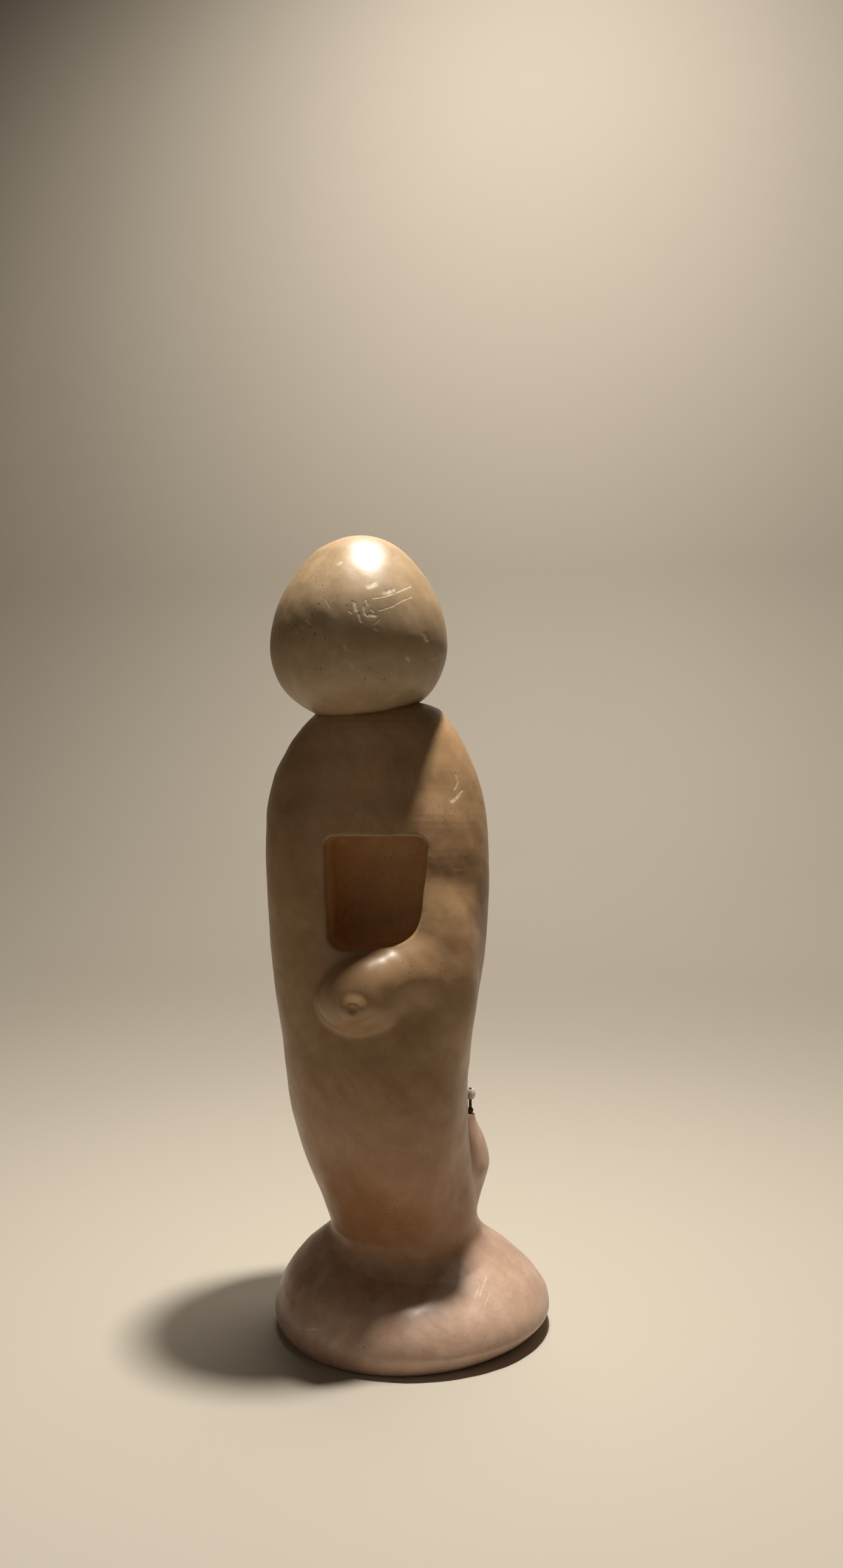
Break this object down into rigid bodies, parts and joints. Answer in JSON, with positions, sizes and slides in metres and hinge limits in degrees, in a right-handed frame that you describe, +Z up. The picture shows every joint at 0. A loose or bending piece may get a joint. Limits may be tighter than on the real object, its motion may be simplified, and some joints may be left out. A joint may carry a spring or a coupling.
{
  "type": "carved figure",
  "caption": "Carved soapstone figure with a plain egg head, rounded shoulders, arms around a recess to clasped hands, and a spreading foot.",
  "frame": {"origin": "centre of the flat underside of the foot", "axes": "+Z up along the figure, -Y the way the figure faces, +X towards the figure's own left arm"},
  "size_m": [0.0846, 0.0773, 0.2286],
  "materials": {
    "head_stone": "hand polished soapstone under wax, semi-gloss, tan with olive patches and fine dark specks",
    "robe_stone": "hand polished soapstone under wax, semi-gloss, warm brown to pinkish",
    "foot_stone": "hand rubbed soapstone, satin, pinkish grey and faintly mottled",
    "clear_bead": "clear, polished",
    "dark_cord": "twisted, waxed dark brown thread"
  },
  "bodies": {
    "root": {"head": "head_stone", "torso": "robe_stone", "right_arm": "robe_stone", "left_arm": "robe_stone", "right_hand": "robe_stone", "left_hand": "robe_stone", "lower_robe": "robe_stone", "rear_bulge": "foot_stone", "foot": "foot_stone", "bead_cord": "dark_cord", "clear_bead": "clear_bead"}
  },
  "joints": []
}
